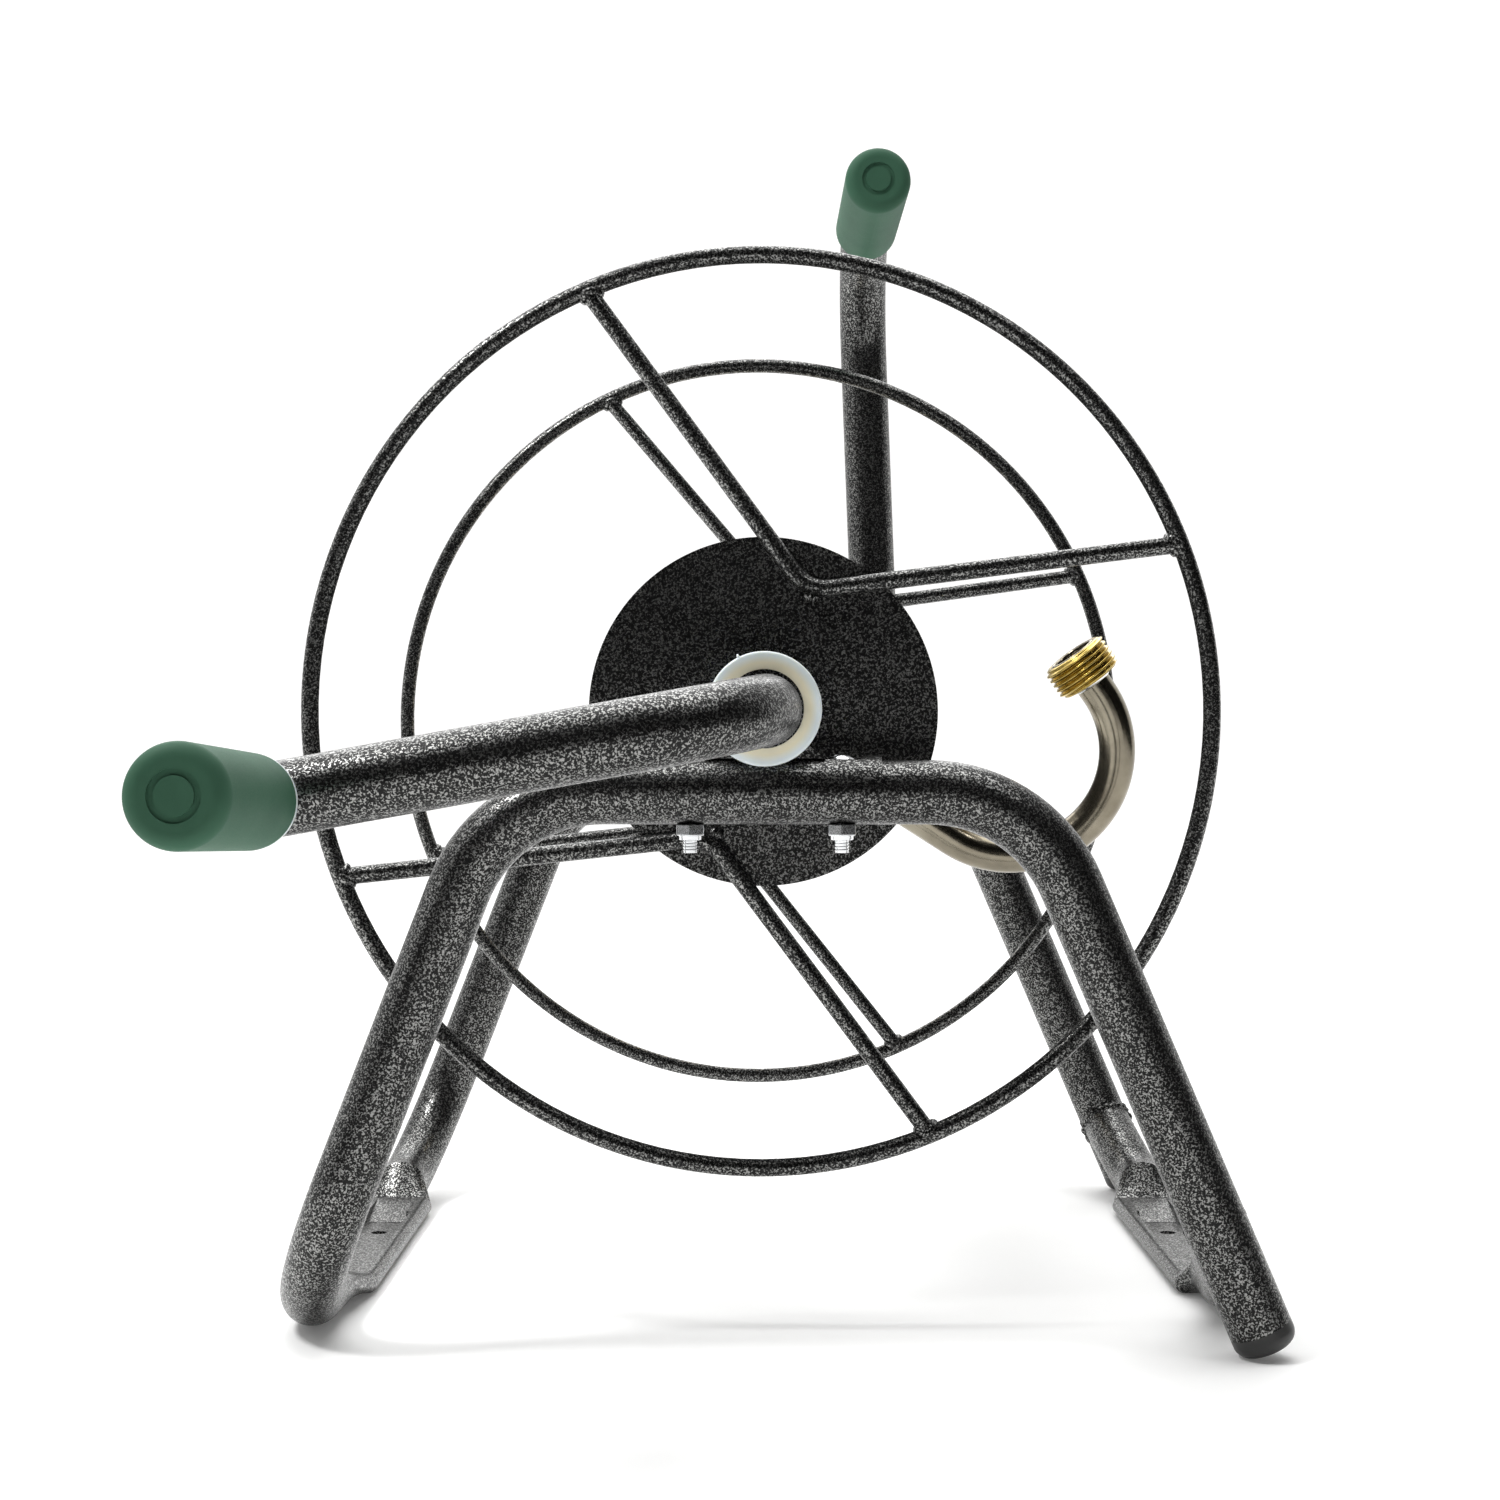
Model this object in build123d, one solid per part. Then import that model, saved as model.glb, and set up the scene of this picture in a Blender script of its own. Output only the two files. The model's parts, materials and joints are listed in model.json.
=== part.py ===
"""Free-standing garden hose reel: a bent tube stand, a wire reel on nylon bushes, a crank,
a carrying handle and the water way from the inlet swivel to the hose outlet.

Millimetres, +Z up, +X to the right and +Y away from the crank. Every piece is drawn about the
axle, with the middle of the reel at (0, 0, 0), and is written out about the point on the floor
midway between the two screw holes of the stand."""
import os
from math import cos, radians, sin, tan

from build123d import *

# Stand
AXLE_HEIGHT = 223.6
FLOOR = -AXLE_HEIGHT
TUBE_R = 11.1               # 7/8 inch tube
TUBE_WALL = 1.5
ARCH_Y = 161.0              # each arch stands this far from the middle of the reel
ARCH_TOP = -28.6            # centre line of the arch top, below the axle
ARCH_CORNER_X = 92.3
LEFT_SPLAY = 21.2           # degrees from upright
RIGHT_SPLAY = 23.1
BEND_R = 53.6               # centre line of the stand's bends
RAIL_Z = FLOOR + TUBE_R
REAR_SHIFT = 3.6            # the rear right leg stands this much further out
FOOT_HEIGHT = 10.0          # middle of each tube end above the floor
CAP_EDGE_R = 5.0

# Flattened pads of the two floor rails
PAD_FRONT = -62.0
PAD_REAR = 96.0
PAD_WIDTH = 30.4
PAD_HEIGHT = 8.0
PAD_WEB = 3.2               # two walls pressed together
PAD_TROUGH = 21.0
PAD_TROUGH_END = 3.0        # flat left at each end of the trough
PAD_RAMP_Y = 62.0           # where the trough starts to climb to its rear end
LEFT_FRONT_TAPER = 44.0     # the left pad fades into the front bend
RIGHT_FRONT_TAPER = 10.0
PAD_REAR_TAPER = 11.0
SCREW_Y = 40.0
SCREW_HOLE_R = 3.3

# Right rail ends, welded to the legs
RAIL_BEND_R = 35.0
RAIL_FRONT_BEND_Y = -95.0
RAIL_REAR_BEND_Y = 118.0
RAIL_RISE = 29.0            # degrees
COPE_GAP = 0.02             # between a coped end and its leg

# Reel
FLANGE_Y = 125.0            # centre of the rim wire
RIM_HALF_X = 162.4          # the welded rims are slightly oval
RIM_HALF_Z = 164.4
RIM_SHIFT = -0.9            # and a little off the axle
WIRE_R = 3.175              # 1/4 inch rod
V_BEND_R = 14.0
FRONT_V_RODS = (            # bend (x, z), and the angles of the two ends on the rim
    ((15.9, 43.3), 21.7, 112.5),
    ((-19.6, -45.4), 201.5, 291.8),
)
REAR_V_RODS = (
    ((14.8, 48.8), 24.4, 115.0),
    ((-18.6, -48.0), 202.5, 293.1),
)
DISC_R = 63.1
DISC_T = 1.9
DISC_Y = FLANGE_Y - WIRE_R  # outer face of each disc
DRUM_R = 57.0
DRUM_T = 1.2

# Axle and bearings
SLEEVE_R = 13.45
SLEEVE_BORE = 11.2
SLEEVE_INNER_Y = 100.0
SLEEVE_OUTER_Y = 174.5
COLLAR_R = 17.0
COLLAR_END_Y = 149.5
CROSS_BOLT_Y = 136.0
HOUSING_R = 17.5
HOUSING_HALF = 8.0
SADDLE_T = 1.6
SADDLE_HALF = 39.0
SADDLE_SHIFT = 1.4          # its middle, to the right of the axle
SADDLE_EDGE = 21.0          # degrees above the tube's sides where the saddle ends
BUSH_R = 15.75
BUSH_BORE = 13.5
BUSH_FLANGE_R = 19.7
BUSH_FLANGE_T = 3.2
BUSH_TAIL = 11.0
SADDLE_BOLTS_X = (-25.4, 26.8)
HEAD_POCKET_R = 8.0
HEAD_POCKET = 1.3           # the screw heads are drawn this deep into the saddle
HEAD_R = 4.9
HEAD_HEIGHT = 2.1
SCREW_R = 2.4               # number 10 screw
SCREW_CLEAR = 2.6

# Crank and grips
CRANK_Y = -294.0            # plane of the crank arm
CRANK_R = 150.0             # axle to grip
CRANK_ANGLE = 190.2
CRANK_BEND_R = 45.0
CRANK_INNER_Y = -110.0
CRANK_OVERHANG = 12.0
CRANK_DROP = 2.9            # the arm hangs this far below the axle
CRANK_KINK_Y = -185.0       # outside the bush, where the tube starts to drop
CRANK_KINK_R = 200.0
GRIP_R = 14.0
GRIP_LENGTH = 84.0
GRIP_LEAN_UP = 2.14         # degrees, from square to the arm
GRIP_LEAN_LEFT = 0.95
GRIP_GAP = 0.9              # between the arm and the turning grip
GRIP_END_WALL = 4.0
GRIP_FLANGE_T = 1.6
GRIP_BOLT_R = 4.0
GRIP_BOLT_HEAD_R = 7.0
GRIP_BOLT_CLEAR = 4.06

# Carrying handle
POST_Y = ARCH_Y + 2 * TUBE_R
POST_FOOT_X = 59.1
POST_FOOT_Z = -42.0
HANDLE_X = 49.0
HANDLE_Z = 227.4
HANDLE_END_X = 50.0
HANDLE_END_Y = 37.0
HANDLE_END_Z = 229.3
CARRY_GRIP_LENGTH = 96.0

# Water way
PIPE_R = 7.15               # 9/16 inch stainless tube
PIPE_WALL = 0.9
OUTLET_Y = -20.0
OUTLET_ANGLE = -32.7        # the pipe's way out of the drum
PIPE_BEND_R = 25.0
HOOK_R = 42.1
HOOK_START = 91.4
HOOK_TURN = 158.2
HOOK_LEAN = 11.0            # degrees towards the crank
HOOK_JOIN = 0.5             # straight between the hook's two arcs
HOOK_STRAIGHT = 9.0         # from the hook to the pipe's end
HOSE_THREAD_R = 13.49       # crest of the 3/4 inch hose thread
HOSE_THREAD_LENGTH = 13.2
HOSE_BORE = 9.0
SOCKET_LENGTH = 4.0         # how far the pipe goes into the fitting
GROMMET_SEAT_R = PIPE_R + 2.0
NOSE_R = 8.0
NOSE_CLEAR = 8.06
NOSE_START = 179.0
NOSE_END = 204.0
ORING_WIRE = 1.3
ORING_AT = (186.0, 192.0)
CLIP_Y = 199.2
CLIP_T = 1.0
INLET_Y = 212.0
INLET_BODY_R = 13.0
INLET_BODY_START = 180.5
INLET_BODY_END = 222.0
CHAMBER_START = 198.8
CHAMBER_R = 9.8
INLET_LEG_R = 9.5
INLET_BORE = 6.0
NECK_R = 8.0
NECK_TOP = -28.0
NUT_TOP = -33.0
NUT_ROOF = 3.5
NUT_R = 16.5
NUT_THREAD_R = 12.4
NUT_SEAT_R = 12.0
NUT_SEAT_END = -43.6
NUT_BOTTOM = -53.0


# ---------------------------------------------------------------- helpers
def y_cylinder(radius, y_start, y_end, x=0.0, z=0.0):
    """A cylinder along Y."""
    low = min(y_start, y_end)
    plane = Plane(origin=(x, low, z), x_dir=(1, 0, 0), z_dir=(0, 1, 0))
    return extrude(plane * Circle(radius), amount=abs(y_end - y_start))


def z_cylinder(radius, z_start, z_end, x=0.0, y=0.0):
    """A cylinder along Z."""
    low = min(z_start, z_end)
    return extrude(Plane(origin=(x, y, low)) * Circle(radius), amount=abs(z_end - z_start))


def y_ring(outer, inner, y_start, y_end):
    return y_cylinder(outer, y_start, y_end) - y_cylinder(inner, y_start, y_end)


def rod(path, radius):
    """A round bar along a path."""
    start = Plane(origin=path @ 0, z_dir=path % 0)
    return sweep(start * Circle(radius), path=path)


def bar(start, end, radius):
    """A straight round bar between two points."""
    start = Vector(start)
    way = Vector(end) - start
    return extrude(Plane(origin=start, z_dir=way) * Circle(radius), amount=way.length)


def round_edge(piece, near, radius):
    """Round the circular edge of a piece that is nearest to a point."""
    edge = piece.edges().filter_by(GeomType.CIRCLE).sort_by_distance(near)[0]
    return fillet(edge, radius)


def tube(path, radius, wall):
    """A round tube along a path, open at both ends."""
    return rod(path, radius) - rod(path, radius - wall)


def rear_of(piece):
    """The same piece on the far side of the reel."""
    return mirror(piece, about=Plane.XZ)


def hexagon(plane, across_flats, height):
    return extrude(plane * RegularPolygon(across_flats / 2, 6, major_radius=False), amount=height)


def on_circle(radius, angle, y):
    """A point at an angle from +X round the axle."""
    return Vector(radius * cos(radians(angle)), y, radius * sin(radians(angle)))


# ---------------------------------------------------------------- stand
def leg_x(side, z):
    """Centre line of a leg: side is -1 for the left legs and 1 for the right ones."""
    splay = LEFT_SPLAY if side < 0 else RIGHT_SPLAY
    return side * (ARCH_CORNER_X + tan(radians(splay)) * (ARCH_TOP - z))


def right_leg(end, z):
    """A point on a right leg's centre line: end is -1 for the crank side and 1 for the rear."""
    shift = REAR_SHIFT if end > 0 else 0
    return Vector(leg_x(1, z) + shift, end * ARCH_Y, z)


LEFT_RAIL_X = leg_x(-1, RAIL_Z)
RIGHT_RAIL_X = leg_x(1, RAIL_Z) + REAR_SHIFT
FOOT_Z = FLOOR + FOOT_HEIGHT


def rail_section(x, y, width, height):
    """A flattened section of rail, standing on the floor."""
    plane = Plane(origin=(x, y, FLOOR + height / 2), x_dir=(1, 0, 0), z_dir=(0, 1, 0))
    return plane * SlotOverall(width, height)


def round_section(x, y, radius):
    return Plane(origin=(x, y, RAIL_Z), x_dir=(1, 0, 0), z_dir=(0, 1, 0)) * Circle(radius)


def taper(x, y_round, y_flat):
    """The stretch of rail where the round tube is pressed flat."""
    skin = loft([round_section(x, y_round, TUBE_R), rail_section(x, y_flat, PAD_WIDTH, PAD_HEIGHT)])
    hollow_wide = PAD_WIDTH - 2 * TUBE_WALL
    hollow_high = PAD_HEIGHT - 2 * TUBE_WALL
    flat = Plane(origin=(x, y_flat, FLOOR + PAD_HEIGHT / 2), x_dir=(1, 0, 0), z_dir=(0, 1, 0))
    hollow = loft([round_section(x, y_round, TUBE_R - TUBE_WALL),
                   flat * SlotOverall(hollow_wide, hollow_high)])
    return skin - hollow


def pad(x):
    """The flattened pad of one rail: a web with rolled edges and a screw hole."""
    block = extrude(rail_section(x, PAD_FRONT, PAD_WIDTH, PAD_HEIGHT), amount=PAD_REAR - PAD_FRONT)
    trough_start = PAD_FRONT + PAD_TROUGH_END
    floor_level = Plane(origin=(x, (trough_start + PAD_RAMP_Y) / 2, FLOOR + PAD_WEB))
    floor_shape = RectangleRounded(PAD_TROUGH - 4, PAD_RAMP_Y - trough_start, 1.5)
    trough = extrude(floor_level * floor_shape, amount=PAD_HEIGHT, taper=-22)
    ramp_side = Polygon(
        (PAD_RAMP_Y - 6, FLOOR + PAD_WEB),
        (PAD_RAMP_Y - 1, FLOOR + PAD_WEB),
        (PAD_REAR - PAD_TROUGH_END, FLOOR + PAD_HEIGHT),
        (PAD_REAR - PAD_TROUGH_END, FLOOR + 2 * PAD_HEIGHT),
        (PAD_RAMP_Y - 6, FLOOR + 2 * PAD_HEIGHT),
        align=None,
    )
    ramp_plane = Plane(origin=(x, 0, 0), x_dir=(0, 1, 0), z_dir=(1, 0, 0))
    trough += extrude(ramp_plane * ramp_side, amount=PAD_TROUGH / 2 - 2, both=True)
    hole = z_cylinder(SCREW_HOLE_R, FLOOR - 1, FLOOR + PAD_HEIGHT, x, SCREW_Y)
    return block - trough - hole


def flattened_stretch(x, front_taper):
    front = taper(x, PAD_FRONT - front_taper, PAD_FRONT)
    rear = taper(x, PAD_REAR + PAD_REAR_TAPER, PAD_REAR)
    return front + pad(x) + rear


def bolt_clearance():
    """Holes through both arches for the bearing housings' screws."""
    holes = [z_cylinder(SCREW_CLEAR, ARCH_TOP - 20, ARCH_TOP + 20, x, y)
             for x in SADDLE_BOLTS_X
             for y in (-ARCH_Y, ARCH_Y)]
    return holes


def half_frame_path(side):
    """Right foot, arch, left leg and the start of the left rail; side is -1 for the crank side."""
    y = side * ARCH_Y
    rail_end = PAD_FRONT - LEFT_FRONT_TAPER if side < 0 else PAD_REAR + PAD_REAR_TAPER
    return FilletPolyline(
        right_leg(side, FOOT_Z),
        right_leg(side, ARCH_TOP),
        (-ARCH_CORNER_X, y, ARCH_TOP),
        (LEFT_RAIL_X, y, RAIL_Z),
        (LEFT_RAIL_X, rail_end, RAIL_Z),
        radius=BEND_R,
    )


def frame_tube():
    """One tube: right foot, front arch, left rail, rear arch, right foot."""
    whole = flattened_stretch(LEFT_RAIL_X, LEFT_FRONT_TAPER)
    for side in (-1, 1):
        whole += tube(half_frame_path(side), TUBE_R, TUBE_WALL)
    for hole in bolt_clearance():
        whole -= hole
    return whole


def right_rail():
    rise = tan(radians(RAIL_RISE))
    whole = flattened_stretch(RIGHT_RAIL_X, RIGHT_FRONT_TAPER)
    ends = (
        (-1, RAIL_FRONT_BEND_Y, PAD_FRONT - RIGHT_FRONT_TAPER),
        (1, RAIL_REAR_BEND_Y, PAD_REAR + PAD_REAR_TAPER),
    )
    for side, bend_y, rail_end in ends:
        top_z = RAIL_Z + rise * (ARCH_Y - abs(bend_y))
        path = FilletPolyline(
            (RIGHT_RAIL_X, rail_end, RAIL_Z),
            (RIGHT_RAIL_X, bend_y, RAIL_Z),
            right_leg(side, top_z),
            radius=RAIL_BEND_R,
        )
        coped_to = bar(right_leg(side, FOOT_Z), right_leg(side, ARCH_TOP), TUBE_R + COPE_GAP)
        whole += tube(path, TUBE_R, TUBE_WALL) - coped_to
    return whole


def foot_caps():
    """Rounded plugs in the two open ends of the stand, down to the floor."""
    splay = radians(RIGHT_SPLAY)
    down = Vector(sin(splay), 0, -cos(splay))
    below_edge = FOOT_HEIGHT - CAP_EDGE_R - (TUBE_R - CAP_EDGE_R) * sin(splay)
    thickness = CAP_EDGE_R + below_edge / cos(splay)
    caps = []
    for side in (-1, 1):
        tube_end = right_leg(side, FOOT_Z)
        head = bar(tube_end, tube_end + down * thickness, TUBE_R)
        head = round_edge(head, tube_end + down * 30, CAP_EDGE_R)
        plug = bar(tube_end - down * 12, tube_end, TUBE_R - TUBE_WALL)
        caps.append(head + plug)
    return Compound(children=caps)


# ---------------------------------------------------------------- bearings
def bearing_housing():
    """A saddle over the arch tube with the bush ring welded on top, on the crank side."""
    plane = Plane(origin=(SADDLE_SHIFT - SADDLE_HALF, -ARCH_Y, ARCH_TOP), x_dir=(0, 1, 0), z_dir=(1, 0, 0))
    shell = extrude(plane * (Circle(TUBE_R + SADDLE_T) - Circle(TUBE_R)), amount=2 * SADDLE_HALF)
    below = Box(4 * SADDLE_HALF, 60, 40, align=(Align.CENTER, Align.CENTER, Align.MAX))
    shell -= Pos(0, -ARCH_Y, ARCH_TOP + TUBE_R * sin(radians(SADDLE_EDGE))) * below
    top = ARCH_TOP + TUBE_R + SADDLE_T
    cheeks = Polygon((-21, top - 1), (-12, top + 6), (12, top + 6), (21, top - 1), align=None)
    cheek_plane = Plane(origin=(0, -ARCH_Y, 0), x_dir=(1, 0, 0), z_dir=(0, -1, 0))
    weld = extrude(cheek_plane * cheeks, amount=HOUSING_HALF - 1, both=True)
    ring = y_cylinder(HOUSING_R, -ARCH_Y - HOUSING_HALF, -ARCH_Y + HOUSING_HALF)
    bore = y_cylinder(BUSH_R, -ARCH_Y - 2 * HOUSING_HALF, -ARCH_Y + 2 * HOUSING_HALF)
    arch = Pos(0, -ARCH_Y, ARCH_TOP) * Rot(0, 90, 0) * Cylinder(TUBE_R, 4 * SADDLE_HALF)
    housing = shell + weld + ring - bore - arch
    crest = ARCH_TOP + TUBE_R + SADDLE_T
    for x in SADDLE_BOLTS_X:
        housing -= z_cylinder(SCREW_CLEAR, ARCH_TOP, ARCH_TOP + 30, x, -ARCH_Y)
        housing -= z_cylinder(HEAD_POCKET_R, crest - HEAD_POCKET, crest + 5, x, -ARCH_Y)
    return housing


def bush():
    """Nylon bush, its flange outside the housing."""
    outer_face = -ARCH_Y - HOUSING_HALF
    body = y_cylinder(BUSH_R, outer_face, outer_face + 2 * HOUSING_HALF + 2)
    flange = y_cylinder(BUSH_FLANGE_R, outer_face - BUSH_FLANGE_T, outer_face)
    flange = fillet(flange.edges().filter_by(GeomType.CIRCLE), 0.9)
    blank = body + flange
    bore = y_cylinder(BUSH_BORE, outer_face - 2 * BUSH_FLANGE_T, outer_face + 40)
    saddle_r = TUBE_R + SADDLE_T
    saddle_clear = Pos(0, -ARCH_Y, ARCH_TOP) * Rot(0, 90, 0) * Cylinder(saddle_r, 4 * SADDLE_HALF)
    return blank - bore - saddle_clear


def carriage_screw(x, y):
    crest = ARCH_TOP + TUBE_R + SADDLE_T
    seat = crest - HEAD_POCKET
    shank = z_cylinder(SCREW_R, crest - 33.6, seat + 0.5, x, y)
    dome_r = (HEAD_R ** 2 + HEAD_HEIGHT ** 2) / (2 * HEAD_HEIGHT)
    dome = Pos(x, y, seat + HEAD_HEIGHT - dome_r) * Sphere(dome_r)
    above = Pos(x, y, seat) * Cylinder(20, 10, align=(Align.CENTER, Align.CENTER, Align.MIN))
    return shank + (dome & above)


def saddle_screws():
    screws = [carriage_screw(x, y)
              for x in SADDLE_BOLTS_X
              for y in (-ARCH_Y, ARCH_Y)]
    return Compound(children=screws)


def lock_nut(plane, across_flats, height, bore):
    """A hexagon lock nut with its round collar, standing on a plane."""
    collar_h = 0.3 * height
    body = hexagon(plane, across_flats, height - collar_h)
    collar = extrude(plane.offset(height - collar_h) * Circle(0.43 * across_flats), amount=collar_h)
    hole = extrude(plane.offset(-1) * Circle(bore), amount=height + 2)
    return body + collar - hole


def saddle_nuts():
    under = ARCH_TOP - TUBE_R
    nuts = []
    for x in SADDLE_BOLTS_X:
        for y in (-ARCH_Y, ARCH_Y):
            plane = Plane(origin=(x, y, under), x_dir=(0, 1, 0), z_dir=(0, 0, -1))
            nuts.append(lock_nut(plane, 9.5, 5.4, SCREW_R))
    return Compound(children=nuts)


# ---------------------------------------------------------------- reel
def rim_plane(side):
    """Side is -1 for the crank side's rim and 1 for the rear one."""
    return Plane(origin=(RIM_SHIFT, side * FLANGE_Y, 0), x_dir=(1, 0, 0), z_dir=(0, -1, 0))


def rim(side):
    ring = Edge.make_ellipse(RIM_HALF_X, RIM_HALF_Z, plane=rim_plane(side))
    return rod(ring, WIRE_R)


def on_rim(angle, y):
    across = cos(radians(angle)) / RIM_HALF_X
    up = sin(radians(angle)) / RIM_HALF_Z
    return on_circle((across ** 2 + up ** 2) ** -0.5, angle, y) + Vector(RIM_SHIFT, 0, 0)


def v_rods(side, shapes):
    """Two bent rods that hold one rim to its disc."""
    y = side * FLANGE_Y
    rods = []
    outline = rim_plane(side) * Ellipse(RIM_HALF_X, RIM_HALF_Z)
    inside = extrude(outline, amount=10, both=True)
    for (bend_x, bend_z), first, last in shapes:
        path = FilletPolyline(on_rim(first, y), (bend_x, y, bend_z), on_rim(last, y), radius=V_BEND_R)
        bent = (rod(path, WIRE_R) - rim(side)) & inside
        rods.append(bent.solids().sort_by(SortBy.VOLUME)[-1])
    return rods[0] + rods[1]


def disc():
    plate = y_cylinder(DISC_R, -DISC_Y, -DISC_Y + DISC_T)
    return plate - y_cylinder(SLEEVE_R, -DISC_Y - 1, -DISC_Y + DISC_T + 1)


def drum():
    half = DISC_Y - DISC_T
    barrel = y_ring(DRUM_R, DRUM_R - DRUM_T, -half, half)
    return barrel - bar((0, OUTLET_Y, 0), on_circle(DRUM_R + 10, OUTLET_ANGLE, OUTLET_Y), GROMMET_SEAT_R)


def drum_grommet():
    """Rubber ring where the pipe leaves the drum."""
    def stretch(start, end, radius):
        return bar(on_circle(start, OUTLET_ANGLE, OUTLET_Y), on_circle(end, OUTLET_ANGLE, OUTLET_Y), radius)
    seat = stretch(DRUM_R - DRUM_T - 1.5, DRUM_R + 1.5, GROMMET_SEAT_R)
    lips = stretch(DRUM_R - 0.2, DRUM_R + 2.2, GROMMET_SEAT_R + 2.5)
    half = DISC_Y - DISC_T
    outside = stretch(DRUM_R - 4, DRUM_R + 4, 30) - y_cylinder(DRUM_R, -half, half)
    return seat + (lips & outside) - stretch(DRUM_R - 10, DRUM_R + 10, PIPE_R)


def sleeve():
    return y_ring(SLEEVE_R, SLEEVE_BORE, -SLEEVE_OUTER_Y, -SLEEVE_INNER_Y)


def cross_bolt_hole(radius):
    """Along the crank arm's direction, through collar, sleeve and crank tube."""
    reach = on_circle(60, CRANK_ANGLE, -CROSS_BOLT_Y)
    return bar(reach, on_circle(60, CRANK_ANGLE + 180, -CROSS_BOLT_Y), radius)


def front_sleeve():
    return sleeve() - cross_bolt_hole(SCREW_CLEAR)


def collar():
    return y_ring(COLLAR_R, SLEEVE_R, -COLLAR_END_Y, -DISC_Y)


def front_collar():
    return collar() - cross_bolt_hole(SCREW_CLEAR)


# ---------------------------------------------------------------- crank
def arm_point(distance):
    return on_circle(distance, CRANK_ANGLE, CRANK_Y) - Vector(0, 0, CRANK_DROP)


GRIP_WAY = Vector(-tan(radians(GRIP_LEAN_LEFT)), -1, tan(radians(GRIP_LEAN_UP))).normalized()


def on_grip(distance):
    """A point on the crank grip's axis, measured outward from the arm's centre line."""
    return arm_point(CRANK_R) + GRIP_WAY * distance


def crank_tube():
    path = FilletPolyline(
        (0, CRANK_INNER_Y, 0),
        (0, CRANK_KINK_Y, 0),
        arm_point(0),
        arm_point(CRANK_R + CRANK_OVERHANG),
        radius=[CRANK_KINK_R, CRANK_BEND_R],
    )
    bolt_hole = bar(on_grip(-20), on_grip(20), GRIP_BOLT_R + 0.2)
    return tube(path, TUBE_R, TUBE_WALL) - cross_bolt_hole(SCREW_CLEAR) - bolt_hole


def crank_end_plug():
    tip = CRANK_R + CRANK_OVERHANG
    head = bar(arm_point(tip), arm_point(tip + 2.5), TUBE_R)
    head = round_edge(head, arm_point(tip + 20), 1.5)
    return head + bar(arm_point(tip - 3), arm_point(tip), TUBE_R - TUBE_WALL)


def cross_bolt():
    """Screw that pins the crank tube in the axle sleeve."""
    start = on_circle(COLLAR_R, CRANK_ANGLE + 180, -CROSS_BOLT_Y)
    outward = Vector(cos(radians(CRANK_ANGLE + 180)), 0, sin(radians(CRANK_ANGLE + 180)))
    head = hexagon(Plane(origin=start, x_dir=(0, 1, 0), z_dir=outward), 9.5, 3.4)
    end = on_circle(COLLAR_R + 8, CRANK_ANGLE, -CROSS_BOLT_Y)
    return head + bar(start, end, SCREW_R)


def cross_nut():
    start = on_circle(COLLAR_R, CRANK_ANGLE, -CROSS_BOLT_Y)
    outward = Vector(cos(radians(CRANK_ANGLE)), 0, sin(radians(CRANK_ANGLE)))
    return lock_nut(Plane(origin=start, x_dir=(0, 1, 0), z_dir=outward), 9.5, 5.4, SCREW_R)


GRIP_START = TUBE_R + GRIP_GAP                 # inner face of the turning grip
GRIP_OPEN = GRIP_START + GRIP_FLANGE_T         # where the vinyl starts
GRIP_CORE_END = GRIP_OPEN + GRIP_LENGTH - GRIP_END_WALL
BOLT_HEAD_AT = GRIP_CORE_END - 7.5             # bearing face of the grip bolt's head
NUT_AT = -TUBE_R - 0.3                         # bearing face of its nut


def grip_bolt():
    shank = bar(on_grip(NUT_AT - 9), on_grip(BOLT_HEAD_AT), GRIP_BOLT_R)
    return shank + bar(on_grip(BOLT_HEAD_AT), on_grip(BOLT_HEAD_AT + 4), GRIP_BOLT_HEAD_R)


def grip_nut():
    plane = Plane(origin=on_grip(NUT_AT), x_dir=(1, 0, 0), z_dir=-GRIP_WAY)
    return lock_nut(plane, 13.0, 8.0, GRIP_BOLT_R)


def grip_core():
    """Nylon core that turns on the grip bolt."""
    flange = bar(on_grip(GRIP_START), on_grip(GRIP_OPEN), GRIP_R - 0.1)
    stem = bar(on_grip(GRIP_OPEN), on_grip(GRIP_CORE_END), TUBE_R)
    bore = bar(on_grip(GRIP_START - 1), on_grip(GRIP_CORE_END + 1), GRIP_BOLT_CLEAR)
    pocket = bar(on_grip(BOLT_HEAD_AT - 0.3), on_grip(GRIP_CORE_END + 1), GRIP_BOLT_HEAD_R + 0.8)
    return flange + stem - bore - pocket


def vinyl_grip(start, way, length):
    """A vinyl grip over a 7/8 inch tube or core; way points to its closed end."""
    end = start + way * length
    body = bar(start, end, GRIP_R)
    body = round_edge(body, end + way * 20, 4.5)
    body = round_edge(body, start - way * 20, 1.2)
    dish = bar(end - way * 0.6, end + way, 7.0) - bar(end - way, end + way * 2, 5.2)
    return body - dish - bar(start - way, end - way * GRIP_END_WALL, TUBE_R)


def crank_grip():
    return vinyl_grip(on_grip(GRIP_OPEN), GRIP_WAY, GRIP_LENGTH)


# ---------------------------------------------------------------- carrying handle
POST_FOOT = Vector(POST_FOOT_X, POST_Y, POST_FOOT_Z)
HANDLE_CORNER = Vector(HANDLE_X, POST_Y, HANDLE_Z)
HANDLE_END = Vector(HANDLE_END_X, HANDLE_END_Y, HANDLE_END_Z)


def carry_handle_tube():
    path = FilletPolyline(POST_FOOT, HANDLE_CORNER, HANDLE_END, radius=BEND_R)
    return tube(path, TUBE_R, TUBE_WALL)


def carry_grip():
    way = (HANDLE_END - HANDLE_CORNER).normalized()
    start = HANDLE_END - way * (CARRY_GRIP_LENGTH - GRIP_END_WALL)
    return vinyl_grip(start, way, CARRY_GRIP_LENGTH)


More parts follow.
